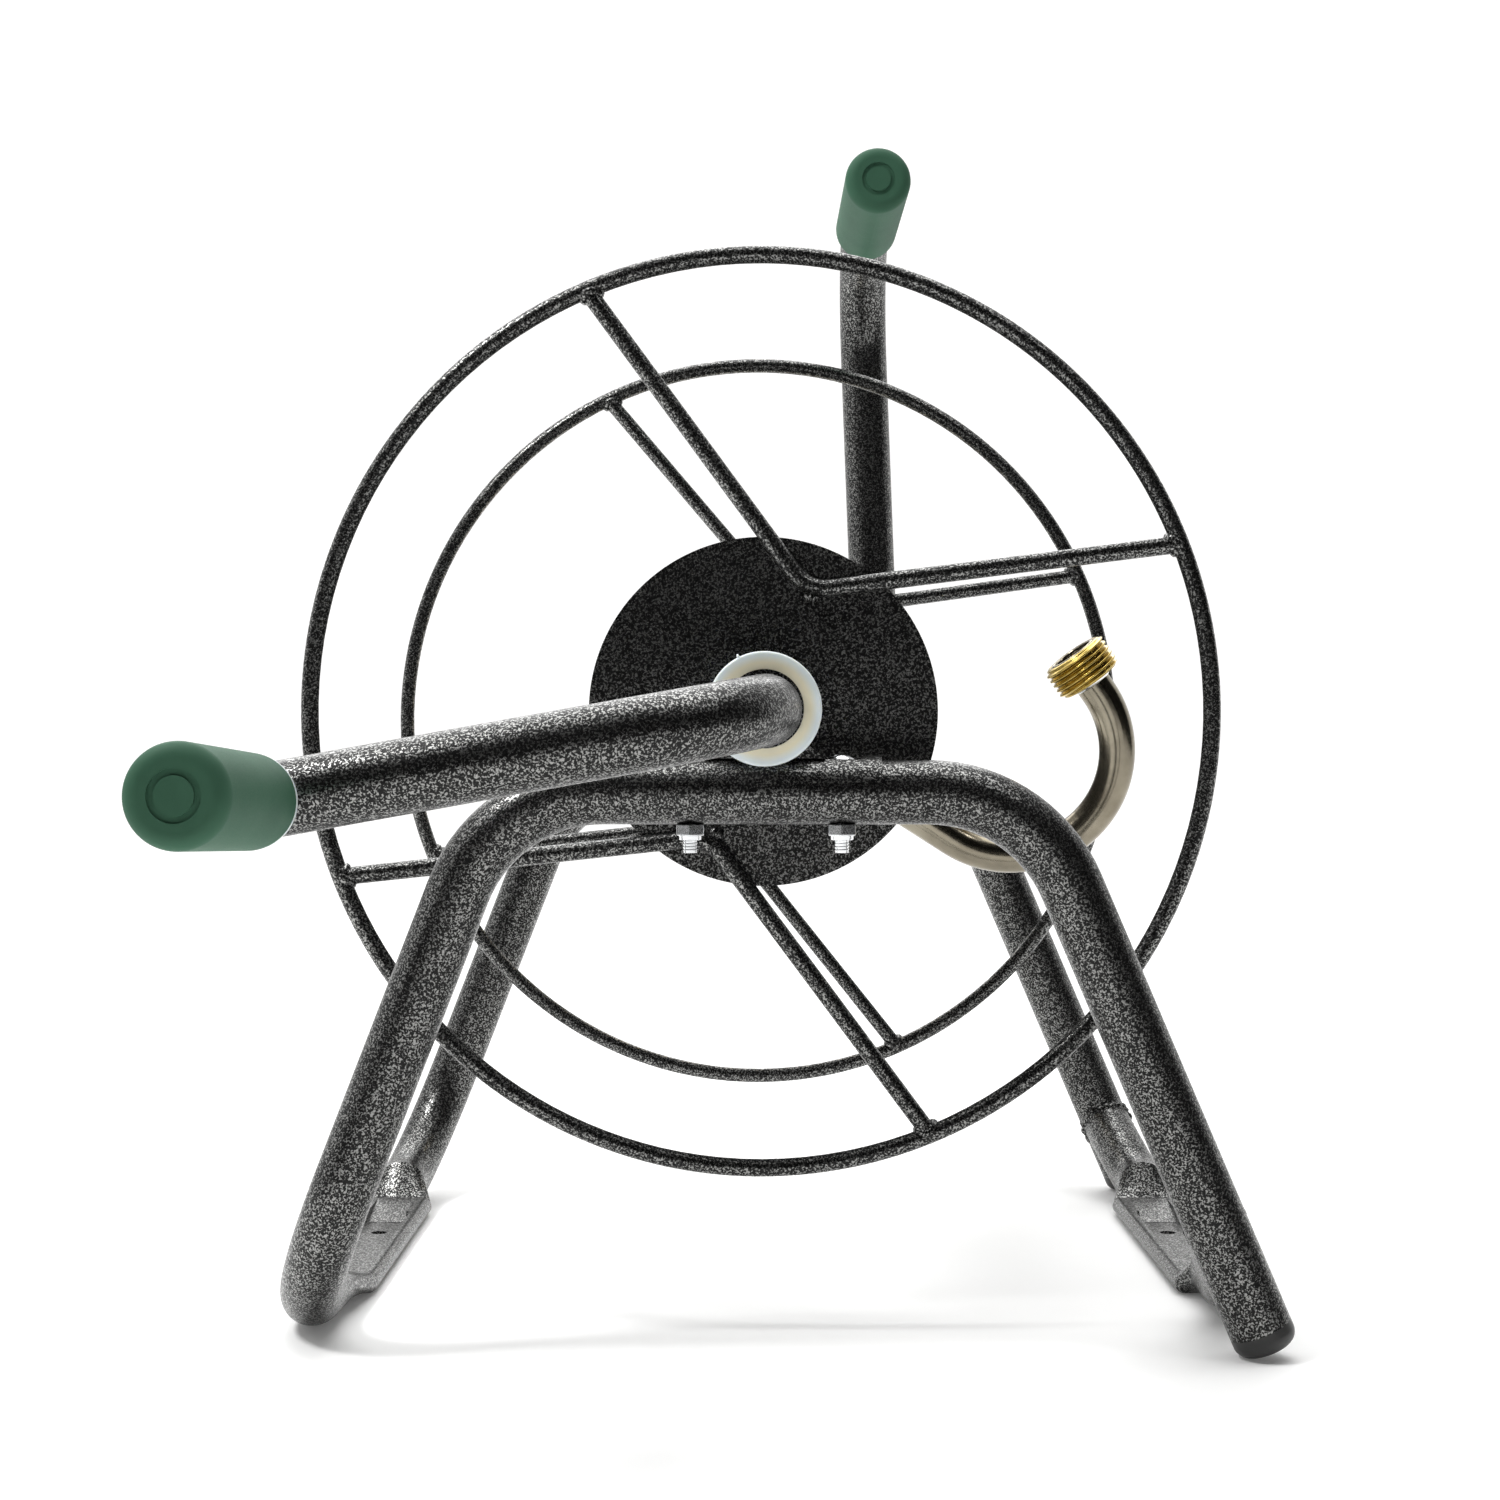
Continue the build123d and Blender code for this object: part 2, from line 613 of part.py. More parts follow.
def post_plug():
    up = (HANDLE_CORNER - POST_FOOT).normalized()
    head = bar(POST_FOOT - up * 2.5, POST_FOOT, TUBE_R)
    head = round_edge(head, POST_FOOT - up * 20, 1.5)
    return head + bar(POST_FOOT, POST_FOOT + up * 12, TUBE_R - TUBE_WALL)


# ---------------------------------------------------------------- water way
def hook_corners():
    """Corner points of the pipe from the drum to its end in the hose fitting, and its last heading."""
    half_turn = HOOK_TURN / 2
    reach = HOOK_R * tan(radians(half_turn / 2))
    out = on_circle(1, OUTLET_ANGLE, 0)
    lean = radians(HOOK_LEAN)
    side = Vector(-out.Z * cos(lean), -sin(lean), out.X * cos(lean))

    def heading(turn):
        return out * cos(radians(turn)) + side * sin(radians(turn))

    corner_1 = on_circle(HOOK_START + reach, OUTLET_ANGLE, OUTLET_Y)
    corner_2 = corner_1 + heading(half_turn) * (2 * reach + HOOK_JOIN)
    way = heading(HOOK_TURN)
    return corner_1, corner_2, corner_2 + way * (reach + HOOK_STRAIGHT), way


def outlet_pipe():
    corner_1, corner_2, end, _ = hook_corners()
    path = FilletPolyline(
        (0, NOSE_START - 15, 0),
        (0, OUTLET_Y, 0),
        corner_1,
        corner_2,
        end,
        radius=[PIPE_BEND_R, HOOK_R, HOOK_R],
    )
    return tube(path, PIPE_R, PIPE_WALL)


def outlet_fitting():
    """Brass male hose fitting on the pipe's end; a plain cylinder stands for the thread."""
    _, _, end, way = hook_corners()
    back = end - way * SOCKET_LENGTH
    tip = back + way * HOSE_THREAD_LENGTH
    body = bar(back, tip, HOSE_THREAD_R)
    return body - bar(end, tip + way, HOSE_BORE) - bar(back - way, end, PIPE_R)


def swivel_stem():
    """Brass stem in the rear sleeve; the inlet turns on its nose."""
    body = y_cylinder(SLEEVE_BORE, 140, SLEEVE_OUTER_Y)
    flange = y_cylinder(SLEEVE_R + 2, SLEEVE_OUTER_Y, NOSE_START)
    nose = y_cylinder(NOSE_R, NOSE_START, NOSE_END)
    stem = body + flange + nose
    for y in ORING_AT:
        stem -= y_ring(NOSE_R + 1, NOSE_R - 1.9, y - 1.5, y + 1.5)
    stem -= y_ring(NOSE_R + 1, NOSE_R - 1.0, CLIP_Y, CLIP_Y + CLIP_T)
    pipe_seat = y_cylinder(PIPE_R, 139, NOSE_START - 15)
    return stem - pipe_seat - y_cylinder(PIPE_R - PIPE_WALL - 1, 139, NOSE_END + 1)


def swivel_o_rings():
    centre_r = NOSE_R - 1.9 + ORING_WIRE * 0.72
    rings = [Pos(0, y, 0) * Rot(90, 0, 0) * Torus(centre_r, ORING_WIRE * 0.72) for y in ORING_AT]
    return Compound(children=rings)


def swivel_clip():
    ring = y_ring(CHAMBER_R - 0.6, NOSE_R - 1.0, CLIP_Y, CLIP_Y + CLIP_T)
    gap = Pos(0, CLIP_Y, 10) * Box(3, 10, 20)
    return ring - gap


def inlet_body():
    """Brass elbow body that turns on the stem, with its leg hanging down."""
    barrel = y_cylinder(INLET_BODY_R, INLET_BODY_START, INLET_BODY_END)
    leg = z_cylinder(INLET_LEG_R, NECK_TOP, 0, 0, INLET_Y)
    neck = z_cylinder(NECK_R, NUT_TOP - NUT_ROOF - 2, NECK_TOP, 0, INLET_Y)
    lip = z_cylinder(NUT_SEAT_R - 0.3, NUT_TOP - NUT_ROOF - 2.6, NUT_TOP - NUT_ROOF - 0.2, 0, INLET_Y)
    whole = barrel + leg + neck + lip
    whole -= y_cylinder(NOSE_CLEAR, INLET_BODY_START - 1, CHAMBER_START)
    whole -= y_cylinder(CHAMBER_R, CHAMBER_START, INLET_BODY_END + 1)
    return whole - z_cylinder(INLET_BORE, NUT_TOP - 20, 0, 0, INLET_Y)


def swivel_cap():
    """Threaded plug behind the swivel chamber."""
    plug = y_cylinder(CHAMBER_R, INLET_BODY_END - 4, INLET_BODY_END)
    plane = Plane(origin=(0, INLET_BODY_END, 0), x_dir=(1, 0, 0), z_dir=(0, 1, 0))
    return plug + hexagon(plane, 22, 4.5)


def hose_washer():
    top = NUT_TOP - NUT_ROOF - 2.6
    bottom = NUT_SEAT_END + 0.2
    ring = z_cylinder(NUT_SEAT_R - 0.3, bottom, top, 0, INLET_Y)
    return ring - z_cylinder(INLET_BORE + 1, bottom - 1, top + 1, 0, INLET_Y)


def inlet_nut():
    """Female hose coupling nut; plain bores stand for its thread."""
    blank = z_cylinder(NUT_R, NUT_BOTTOM, NUT_TOP, 0, INLET_Y)
    for step in range(12):
        angle = radians(step * 30)
        x = (NUT_R + 1.2) * cos(angle)
        y = INLET_Y + (NUT_R + 1.2) * sin(angle)
        blank -= z_cylinder(2.2, NUT_BOTTOM - 1, NUT_TOP - 2, x, y)
    blank -= z_cylinder(NECK_R + 0.06, NUT_BOTTOM, NUT_TOP + 1, 0, INLET_Y)
    blank -= z_cylinder(NUT_SEAT_R, NUT_SEAT_END, NUT_TOP - NUT_ROOF, 0, INLET_Y)
    return blank - z_cylinder(NUT_THREAD_R, NUT_BOTTOM - 1, NUT_SEAT_END, 0, INLET_Y)


# ---------------------------------------------------------------- all nodes
PIECES = {
    "frame_tube": frame_tube,
    "right_rail": right_rail,
    "foot_caps": foot_caps,
    "front_housing": bearing_housing,
    "rear_housing": lambda: rear_of(bearing_housing()),
    "front_bush": bush,
    "rear_bush": lambda: rear_of(bush()),
    "housing_screws": saddle_screws,
    "housing_nuts": saddle_nuts,
    "carry_handle_tube": carry_handle_tube,
    "carry_grip": carry_grip,
    "post_plug": post_plug,
    "front_rim": lambda: rim(-1),
    "rear_rim": lambda: rim(1),
    "front_v_rods": lambda: v_rods(-1, FRONT_V_RODS),
    "rear_v_rods": lambda: v_rods(1, REAR_V_RODS),
    "front_disc": disc,
    "rear_disc": lambda: rear_of(disc()),
    "drum": drum,
    "drum_grommet": drum_grommet,
    "front_sleeve": front_sleeve,
    "rear_sleeve": lambda: rear_of(sleeve()),
    "front_collar": front_collar,
    "rear_collar": lambda: rear_of(collar()),
    "crank_tube": crank_tube,
    "crank_end_plug": crank_end_plug,
    "crank_bolt": cross_bolt,
    "crank_nut": cross_nut,
    "grip_bolt": grip_bolt,
    "grip_nut": grip_nut,
    "grip_core": grip_core,
    "crank_grip": crank_grip,
    "outlet_pipe": outlet_pipe,
    "outlet_fitting": outlet_fitting,
    "swivel_stem": swivel_stem,
    "swivel_o_rings": swivel_o_rings,
    "swivel_clip": swivel_clip,
    "inlet_body": inlet_body,
    "swivel_cap": swivel_cap,
    "hose_washer": hose_washer,
    "inlet_nut": inlet_nut,
}

ROW_ORIGIN = Vector((LEFT_RAIL_X + RIGHT_RAIL_X) / 2, SCREW_Y, FLOOR)


def main():
    os.makedirs("parts", exist_ok=True)
    for name, make in PIECES.items():
        piece = Location(-ROW_ORIGIN) * make()
        export_step(piece, f"parts/{name}.step")


main()
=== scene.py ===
"""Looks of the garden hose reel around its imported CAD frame, in metres.

The CAD pieces keep their shapes and get procedural materials. Weld beads, threads, mould marks and
the turned brass fitting are built here as meshes and ride on the CAD bodies."""
import json
import math
import random

import bpy
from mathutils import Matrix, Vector
from mathutils.bvhtree import BVHTree


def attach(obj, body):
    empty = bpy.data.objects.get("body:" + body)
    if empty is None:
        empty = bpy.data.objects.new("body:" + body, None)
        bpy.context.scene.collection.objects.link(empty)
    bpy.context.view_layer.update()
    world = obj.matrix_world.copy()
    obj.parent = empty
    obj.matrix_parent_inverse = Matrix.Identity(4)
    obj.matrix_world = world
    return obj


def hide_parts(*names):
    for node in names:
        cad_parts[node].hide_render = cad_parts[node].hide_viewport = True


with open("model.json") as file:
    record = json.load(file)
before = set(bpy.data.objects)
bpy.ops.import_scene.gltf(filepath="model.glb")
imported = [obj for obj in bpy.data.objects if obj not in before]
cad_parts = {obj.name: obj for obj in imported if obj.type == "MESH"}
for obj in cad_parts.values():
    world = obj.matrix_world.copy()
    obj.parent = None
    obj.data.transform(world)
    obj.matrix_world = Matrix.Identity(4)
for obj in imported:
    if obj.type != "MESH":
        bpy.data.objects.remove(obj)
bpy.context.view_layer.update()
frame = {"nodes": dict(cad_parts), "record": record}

MM = 0.001

JOINTS = {joint["name"]: joint for joint in frame["record"]["behaviour"]["joints"]}
MOUNTS = {mount["name"]: mount for mount in frame["record"]["mounts"]}
AXLE = Vector(JOINTS["reel_spin"]["pos_m"])


# ---------------------------------------------------------------- materials
class Shader:
    """A node material with a principled shader, grown one node at a time."""

    def __init__(self, name):
        self.material = bpy.data.materials.new(name)
        self.material.use_nodes = True
        self.tree = self.material.node_tree
        self.shader = self.tree.nodes["Principled BSDF"]
        self.place = self.add("ShaderNodeTexCoord").outputs["Object"]

    def add(self, kind, **inputs):
        node = self.tree.nodes.new(kind)
        for key, value in inputs.items():
            node.inputs[key].default_value = value
        return node

    def link(self, source, target):
        self.tree.links.new(source, target)

    def set(self, **values):
        for key, value in values.items():
            self.shader.inputs[key.replace("_", " ")].default_value = value

    def noise(self, scale, detail=2.0, roughness=0.5, distortion=0.0):
        node = self.add("ShaderNodeTexNoise", Scale=scale, Detail=detail, Roughness=roughness,
                        Distortion=distortion)
        self.link(self.place, node.inputs["Vector"])
        return node.outputs["Fac"]

    def ramp(self, source, stops):
        node = self.add("ShaderNodeValToRGB")
        elements = node.color_ramp.elements
        while len(elements) < len(stops):
            elements.new(0.5)
        for element, (position, colour) in zip(elements, stops):
            element.position = position
            element.color = (*colour, 1.0)
        self.link(source, node.inputs["Fac"])
        return node.outputs["Color"]

    def spread(self, source, low, high, to_low, to_high):
        node = self.add("ShaderNodeMapRange")
        for index, value in enumerate((low, high, to_low, to_high), start=1):
            node.inputs[index].default_value = value
        self.link(source, node.inputs["Value"])
        return node.outputs["Result"]

    def vector_math(self, operation, source, by=None):
        node = self.add("ShaderNodeVectorMath")
        node.operation = operation
        if by is not None:
            node.inputs[1].default_value = by
        self.link(source, node.inputs[0])
        return node.outputs["Value" if operation == "LENGTH" else "Vector"]

    def multiply(self, first, second):
        node = self.add("ShaderNodeMix")
        node.data_type = "RGBA"
        node.blend_type = "MULTIPLY"
        node.inputs[0].default_value = 1.0
        self.link(first, node.inputs[6])
        self.link(second, node.inputs[7])
        return node.outputs[2]

    def bump(self, source, distance, strength):
        node = self.add("ShaderNodeBump", Strength=strength, Distance=distance)
        self.link(source, node.inputs["Height"])
        return node.outputs["Normal"]


def grey(value):
    return (value, value, value * 0.97)


def hammertone():
    """Charcoal powder coat: bright metal flecks crawling over a black ground, under thin gloss."""
    s = Shader("hammertone_coat")
    flecks = s.noise(1450.0, 1.0, 0.5, 0.6)
    coat = s.ramp(flecks, [(0.49, grey(0.003)), (0.545, grey(0.055)), (0.60, grey(0.29))])
    s.link(coat, s.shader.inputs["Base Color"])
    s.link(s.spread(flecks, 0.48, 0.57, 0.0, 1.0), s.shader.inputs["Metallic"])
    s.link(s.spread(flecks, 0.4, 0.65, 0.38, 0.28), s.shader.inputs["Roughness"])
    s.link(s.bump(flecks, 0.00016, 0.7), s.shader.inputs["Normal"])
    s.set(Coat_Weight=0.12, Coat_Roughness=0.12, Specular_IOR_Level=0.15)
    return s.material


def nylon():
    """Natural nylon: cream where the bush is thick, bluish towards its thin rim, with a faint painted glow
    of the same tint.
    """
    s = Shader("natural_nylon")
    offset = s.vector_math("SUBTRACT", s.place, AXLE)
    flat = s.vector_math("MULTIPLY", offset, (1.0, 0.0, 1.0))
    rim = s.spread(s.vector_math("LENGTH", flat), 0.0150, 0.0190, 0.0, 1.0)
    tone = s.ramp(rim, [(0.2, (0.84, 0.79, 0.60)), (0.8, (0.74, 0.81, 0.82))])
    cloud = s.ramp(s.noise(90.0, 3.0), [(0.3, (0.92, 0.92, 0.92)), (0.7, (1.0, 1.0, 1.0))])
    tint_and_glow = s.multiply(tone, cloud)
    s.link(tint_and_glow, s.shader.inputs["Base Color"])
    # the same tint also feeds a weak emission (strength set below): a painted glow that lightens the bush,
    # not a lamp
    s.link(tint_and_glow, s.shader.inputs["Emission Color"])
    s.link(s.bump(s.noise(1400.0, 2.0), 0.00002, 0.5), s.shader.inputs["Normal"])
    s.set(Roughness=0.3, Subsurface_Weight=0.3, Subsurface_Scale=0.003,
          Subsurface_Radius=(1.0, 0.9, 0.6), Emission_Strength=0.1)
    return s.material


def green_vinyl():
    s = Shader("green_vinyl")
    cloud = s.noise(45.0, 3.0)
    s.link(s.ramp(cloud, [(0.3, (0.038, 0.104, 0.064)), (0.7, (0.048, 0.124, 0.077))]),
           s.shader.inputs["Base Color"])
    grain = s.noise(2600.0, 3.0, 0.6)
    s.link(s.spread(grain, 0.3, 0.7, 0.55, 0.7), s.shader.inputs["Roughness"])
    s.link(s.bump(grain, 0.00004, 0.6), s.shader.inputs["Normal"])
    s.set(Specular_IOR_Level=0.14)
    return s.material


def turned_metal(name, light, dark, roughness, lines=0.0):
    """Machined or drawn metal: fine noise in colour and roughness, faint tool lines."""
    s = Shader(name)
    cloud = s.noise(140.0, 3.0)
    s.link(s.ramp(cloud, [(0.3, dark), (0.7, light)]), s.shader.inputs["Base Color"])
    fine = s.noise(1700.0, 3.0, 0.6)
    s.link(s.spread(fine, 0.3, 0.7, roughness * 0.75, roughness * 1.3), s.shader.inputs["Roughness"])
    s.link(s.bump(fine, 0.00003, 0.3 + lines), s.shader.inputs["Normal"])
    s.set(Metallic=1.0)
    return s.material


def brushed_pipe():
    """Drawn stainless tube with warm stains and long draw marks."""
    s = Shader("drawn_stainless")
    stains = s.noise(38.0, 4.0, 0.6)
    s.link(s.ramp(stains, [(0.3, (0.17, 0.148, 0.11)), (0.7, (0.34, 0.31, 0.24))]),
           s.shader.inputs["Base Color"])
    fine = s.noise(900.0, 4.0, 0.65)
    s.link(s.spread(fine, 0.3, 0.7, 0.14, 0.26), s.shader.inputs["Roughness"])
    s.link(s.bump(fine, 0.00003, 0.4), s.shader.inputs["Normal"])
    s.set(Metallic=1.0)
    return s.material


def dull_plastic(name, low, high, roughness):
    s = Shader(name)
    s.link(s.ramp(s.noise(120.0, 3.0), [(0.3, grey(low)), (0.7, grey(high))]),
           s.shader.inputs["Base Color"])
    s.link(s.bump(s.noise(1500.0, 2.0), 0.00004, 0.5), s.shader.inputs["Normal"])
    s.set(Roughness=roughness)
    return s.material


LOOKS = {
    "hammertone": hammertone(),
    "nylon": nylon(),
    "green_vinyl": green_vinyl(),
    "brass": turned_metal("machined_brass", (0.58, 0.43, 0.13), (0.38, 0.27, 0.06), 0.22, 0.2),
    "zinc": turned_metal("bright_zinc", (0.82, 0.83, 0.84), (0.62, 0.63, 0.64), 0.16),
    "stainless": brushed_pipe(),
    "black_plastic": dull_plastic("black_plastic", 0.012, 0.02, 0.42),
    "black_rubber": dull_plastic("black_rubber", 0.01, 0.016, 0.65),
}
SLOT_OF = {row["node"]: row["material_slot"] for row in frame["record"]["subparts"]}


def node_object(node):
    return frame["nodes"][node]


def dress_cad_nodes():
    for node, slot in SLOT_OF.items():
        obj = node_object(node)
        if obj.data.materials:
            for index in range(len(obj.data.materials)):
                obj.data.materials[index] = LOOKS[slot]
        else:
            obj.data.materials.append(LOOKS[slot])


def soften_edges(nodes, width):
    """Small rolled edges that catch the light on the plated hardware and the saddles."""
    for node in nodes:
        joined = node_object(node).modifiers.new("join", "WELD")
        joined.merge_threshold = 1e-6
        rolled = node_object(node).modifiers.new("rolled_edges", "BEVEL")
        rolled.width = width
        rolled.segments = 2
        rolled.limit_method = "ANGLE"
        rolled.angle_limit = math.radians(35)


# ---------------------------------------------------------------- mesh helpers
def new_mesh(name, points, faces, slot, body, smooth=True):
    mesh = bpy.data.meshes.new(name)
    mesh.from_pydata([tuple(point) for point in points], [], faces)
    mesh.validate()
    for polygon in mesh.polygons:
        polygon.use_smooth = smooth
    obj = bpy.data.objects.new(name, mesh)
    bpy.context.scene.collection.objects.link(obj)
    obj.data.materials.append(LOOKS[slot])
    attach(obj, body)
    return obj


def across(axis):
    """Two directions at right angles to an axis."""
    helper = Vector((0, 0, 1)) if abs(axis.z) < 0.9 else Vector((1, 0, 0))
    first = axis.cross(helper).normalized()
    return first, axis.cross(first).normalized()


def turned(name, origin, axis, stations, slot, body, segments=96, closed=True):
    """A lathe shape: each station is (distance along the axis, radius or radius of the angle)."""
    axis = axis.normalized()
    first, second = across(axis)
    points = []
    for along, radius in stations:
        for step in range(segments):
            angle = 2 * math.pi * step / segments
            r = radius(angle) if callable(radius) else radius
            points.append(origin + axis * along + (first * math.cos(angle) + second * math.sin(angle)) * r)
    faces = []
    rings = len(stations)
    spans = rings if closed else rings - 1
    for ring in range(spans):
        following = (ring + 1) % rings
        for step in range(segments):
            after = (step + 1) % segments
            faces.append((ring * segments + step, ring * segments + after,
                          following * segments + after, following * segments + step))
    if not closed:
        faces.append(tuple(reversed(range(segments))))
        faces.append(tuple((rings - 1) * segments + step for step in range(segments)))
    return new_mesh(name, points, faces, slot, body)


def thread_stations(start, end, root, crest, pitch, fade, steps_per_pitch=12):
    """Stations of a helical V thread that fades in and out at its ends."""
    count = round((end - start) / pitch * steps_per_pitch)
    stations = []
    for index in range(count + 1):
        along = start + (end - start) * index / count
        grown = min(1.0, (along - start) / fade, (end - along) / fade)

        def radius(angle, along=along, grown=max(0.0, grown)):
            phase = (along / pitch - angle / (2 * math.pi)) % 1.0
            ridge = min(1.0, 1.25 * (1 - abs(2 * phase - 1)))
            return root + (crest - root) * ridge * grown
        stations.append((along, radius))
    return stations


def bead(name, path, radius, body, closed, seed, ripple=0.22):
    """A weld bead: a rippled, slightly uneven tube along a path."""
    draw = random.Random(seed)
    sides = 10
    count = len(path)
    points = []
    for index, centre in enumerate(path):
        before = path[(index - 1) % count] if closed or index else centre
        after = path[(index + 1) % count] if closed or index < count - 1 else centre
        axis = (after - before).normalized()
        first, second = across(axis)
        end_shape = 1.0
        if not closed:
            from_end = min(index, count - 1 - index) / 3
            end_shape = math.sin(min(1.0, 0.12 + from_end) * math.pi / 2)
        wave = 1 + ripple * math.sin(index * 2.1) + draw.uniform(-0.1, 0.1)
        for side in range(sides):
            angle = 2 * math.pi * side / sides
            r = radius * wave * end_shape * (1 + draw.uniform(-0.06, 0.06))
            points.append(centre + (first * math.cos(angle) + second * math.sin(angle)) * r)
    faces = []
    spans = count if closed else count - 1
    for ring in range(spans):
        following = (ring + 1) % count
        for side in range(sides):
            after = (side + 1) % sides
            faces.append((ring * sides + side, ring * sides + after,
                          following * sides + after, following * sides + side))
    if not closed:
        faces.append(tuple(reversed(range(sides))))
        faces.append(tuple((count - 1) * sides + side for side in range(sides)))
    return new_mesh(name, points, faces, "hammertone", body)


# ---------------------------------------------------------------- places
# Millimetres about the axle, as the CAD part is drawn: x right, y away from the crank, z up.
ENDS = ((-1, "front"), (1, "rear"))
FLOOR = -223.6
TUBE_R = 11.1
ARCH_Y = 161.0
ARCH_TOP = -28.6            # the arch tube's middle
LEG_X = 92.3                # a right leg's line at that height
LEG_SPLAY = math.tan(math.radians(23.1))
REAR_SHIFT = 3.6            # the rear right leg stands this much further out
RAIL_BEND_Y = {"front": -95.0, "rear": 118.0}
RAIL_RISE = math.tan(math.radians(29.0))
RAIL_BEAD_R = {"front": 0.0011, "rear": 0.0021}
RIM_HALF = (162.4, 164.4)
RIM_SHIFT = -0.9
WIRE_R = 3.175
FLANGE_Y = 125.0
DISC_Y = FLANGE_Y - WIRE_R
V_RODS = (                  # flange, side, bend (x, z) and the two ends' angles on the rim
    ("front", -1, (15.9, 43.3), (21.7, 112.5)),
    ("front", -1, (-19.6, -45.4), (201.5, 291.8)),
    ("rear", 1, (14.8, 48.8), (24.4, 115.0)),
    ("rear", 1, (-18.6, -48.0), (202.5, 293.1)),
)
SPOT_SHIFT = (1.9, -0.3)    # x and z of a spot of weld from its rod's bend
SPOT_PROUD = 1.4            # and its middle, out from the disc
SPOT_INWARD = 1.5           # and towards the axle
COLLAR_R = 17.0
COLLAR_END_Y = 149.5
SLEEVE_R = 13.45
SADDLE_R = TUBE_R + 1.6
HOUSING_BEAD_X = 13.2       # a housing's beads lie this far from its middle
HOUSING_BEAD_RISE = 3.4     # and this far above the saddle's top
BUSH_FACE_Y = 172.2
BOLTS_X = (-25.4, 26.8)
NUT_HEIGHT = 5.4
SCREW_LENGTH = 33.6         # down from the saddle's top
STUD_THREAD = {"root": 0.00225, "crest": 0.00262, "pitch": 0.001058, "fade": 0.0006}
HOSE_THREAD = {"root": 0.01195, "crest": 0.01349, "pitch": 0.00221, "fade": 0.0009}
HOSE_THREAD_LENGTH = 0.0124
FITTING_BACK = 0.0066       # from the outlet mount back to the fitting's inner end
POST_Y = 183.2
POST_FOOT = (59.1, -42.0)   # x and z of the post's middle at its two ends
POST_TOP = (49.0, 227.4)
POST_BEAD_X = 5.4           # the two beads' distance from the post's middle
POST_BEAD_DEPTH = 9.7       # and the post's surface there, before its middle


def place(x, y, z):
    """A point about the axle, in row-frame metres."""
    return AXLE + Vector((x, y, z)) * MM


def around(radius, angle, y):
    turn = math.radians(angle)
    return place(radius * math.cos(turn), y, radius * math.sin(turn))


def ring_path(centre, axis, radius, steps):
    first, second = across(axis)
    return [centre + (first * math.cos(turn) + second * math.sin(turn)) * radius
            for turn in (2 * math.pi * step / steps for step in range(steps))]


def seam(start, axis, radius, node, steps=26, reach=0.06):
    """Where a round bar's surface meets another node, found by rays along the bar."""
    surface = BVHTree.FromObject(node_object(node), bpy.context.evaluated_depsgraph_get())
    axis = axis.normalized()
    points = []
    for point in ring_path(start, axis, radius, steps):
        hit = surface.ray_cast(point, axis, reach)
        if hit[0] is not None:
            points.append(hit[0])
    return points


# ---------------------------------------------------------------- welds
def on_rim(angle, y):
    across_x = math.cos(math.radians(angle)) / RIM_HALF[0]
    up = math.sin(math.radians(angle)) / RIM_HALF[1]
    return around(math.hypot(across_x, up) ** -1, angle, y) + Vector((RIM_SHIFT, 0, 0)) * MM


def weld_rods_to_rims():
    number = 0
    for flange, side, bend, ends in V_RODS:
        corner = place(bend[0], side * FLANGE_Y, bend[1])
        for angle in ends:
            number += 1
            end = on_rim(angle, side * FLANGE_Y)
            way = (end - corner).normalized()
            loop = seam(end - way * 0.02, way, WIRE_R * MM * 0.94, f"{flange}_rim", 22)
            bead(f"rim_weld_{number}", loop, 0.00155, "reel", True, 11 * number)


def weld_rods_to_discs():
    """A lumpy spot of weld on the axle side of each rod's bend."""
    for number, (_, side, bend, _) in enumerate(V_RODS, start=1):
        out = Vector((bend[0], 0, bend[1])).normalized()
        centre = place(bend[0] + SPOT_SHIFT[0], side * (DISC_Y + SPOT_PROUD), bend[1] + SPOT_SHIFT[1])
        centre -= out * SPOT_INWARD * MM
        along = Vector((0, 1, 0)).cross(out)
        path = [centre + along * 0.00055 * step for step in range(-5, 6)]
        bead(f"disc_weld_{number}", path, 0.0028, "reel", False, 5 * number, 0.3)


def weld_collars():
    for side, end in ENDS:
        axis = Vector((0, 1, 0))
        at_disc = place(0, side * (DISC_Y + 0.5), 0)
        path = ring_path(at_disc, axis, (COLLAR_R + 0.6) * MM, 72)
        bead(f"{end}_collar_weld", path, 0.0013, "reel", True, 71 + side)
        at_sleeve = place(0, side * (COLLAR_END_Y + 0.3), 0)
        path = ring_path(at_sleeve, axis, (SLEEVE_R + 0.9) * MM, 60)
        bead(f"{end}_sleeve_weld", path, 0.0011, "reel", True, 81 + side)


def weld_rails_to_legs():
    """The right rail's ends, coped to the two legs."""
    rail_z = FLOOR + TUBE_R
    rail_x = LEG_X + REAR_SHIFT + LEG_SPLAY * (ARCH_TOP - rail_z)
    for side, end in ENDS:
        joint_z = rail_z + RAIL_RISE * (ARCH_Y - abs(RAIL_BEND_Y[end]))
        shift = REAR_SHIFT if end == "rear" else 0.0
        on_leg = place(LEG_X + shift + LEG_SPLAY * (ARCH_TOP - joint_z), side * ARCH_Y, joint_z)
        way = (on_leg - place(rail_x, RAIL_BEND_Y[end], rail_z)).normalized()
        loop = seam(on_leg - way * 0.035, way, TUBE_R * MM * 0.93, "frame_tube", 64)
        bead(f"{end}_rail_weld", loop, RAIL_BEAD_R[end], "frame", True, 31 + side)


